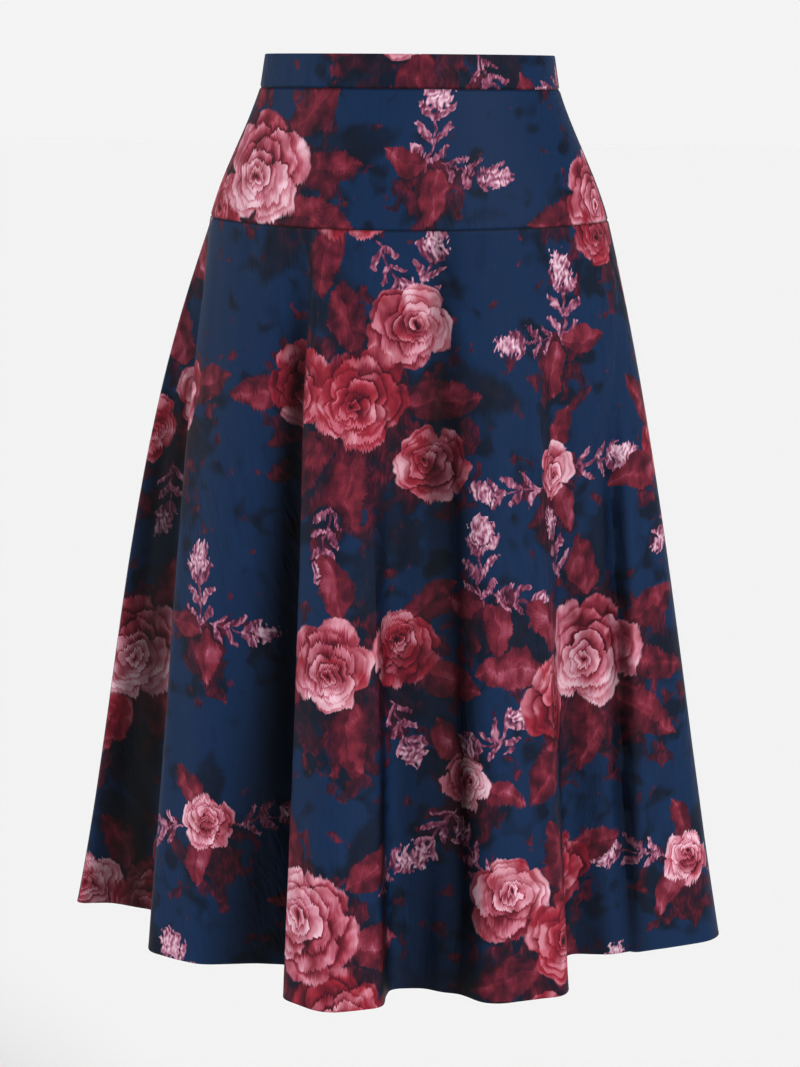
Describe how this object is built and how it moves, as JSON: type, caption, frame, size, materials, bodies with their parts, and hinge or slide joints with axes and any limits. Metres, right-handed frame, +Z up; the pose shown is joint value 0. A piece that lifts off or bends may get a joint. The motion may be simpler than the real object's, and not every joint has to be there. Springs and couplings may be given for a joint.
{
  "type": "a-line skirt",
  "caption": "Flared midi skirt in printed woven cloth, with a waistband, a fitted hip yoke and deep soft flutes, in its worn, filled form; concealed zip at the centre back.",
  "frame": {"origin": "middle of the waist, level with the seam under the waistband, where the wearer's waist holds it", "axes": "+Z up, out of the top of the waistband; -Y to the front; +X to the wearer's left"},
  "size_m": [0.6079, 0.4331, 0.807],
  "materials": {
    "cloth": "fine ribbed weave with a faint sheen, printed with flowers on navy",
    "tape": "matt woven tape",
    "metal": "satin navy lacquer"
  },
  "bodies": {
    "skirt": {"waistband_front": "cloth", "waistband_back_left": "cloth", "waistband_back_right": "cloth", "yoke_front": "cloth", "yoke_back_left": "cloth", "yoke_back_right": "cloth", "skirt_front": "cloth", "skirt_back_left": "cloth", "skirt_back_right": "cloth", "zip_tape_left": "tape", "zip_tape_right": "tape", "zip_slider": "metal"},
    "zip_pull": {"zip_pull": "metal"}
  },
  "joints": [
    {"name": "zip_pull_hinge", "type": "hinge", "parent": "skirt", "child": "zip_pull", "pos_m": [0, 0.09452, 0.01825], "axis": [1, 0, 0], "range_deg": [0, 165]}
  ]
}
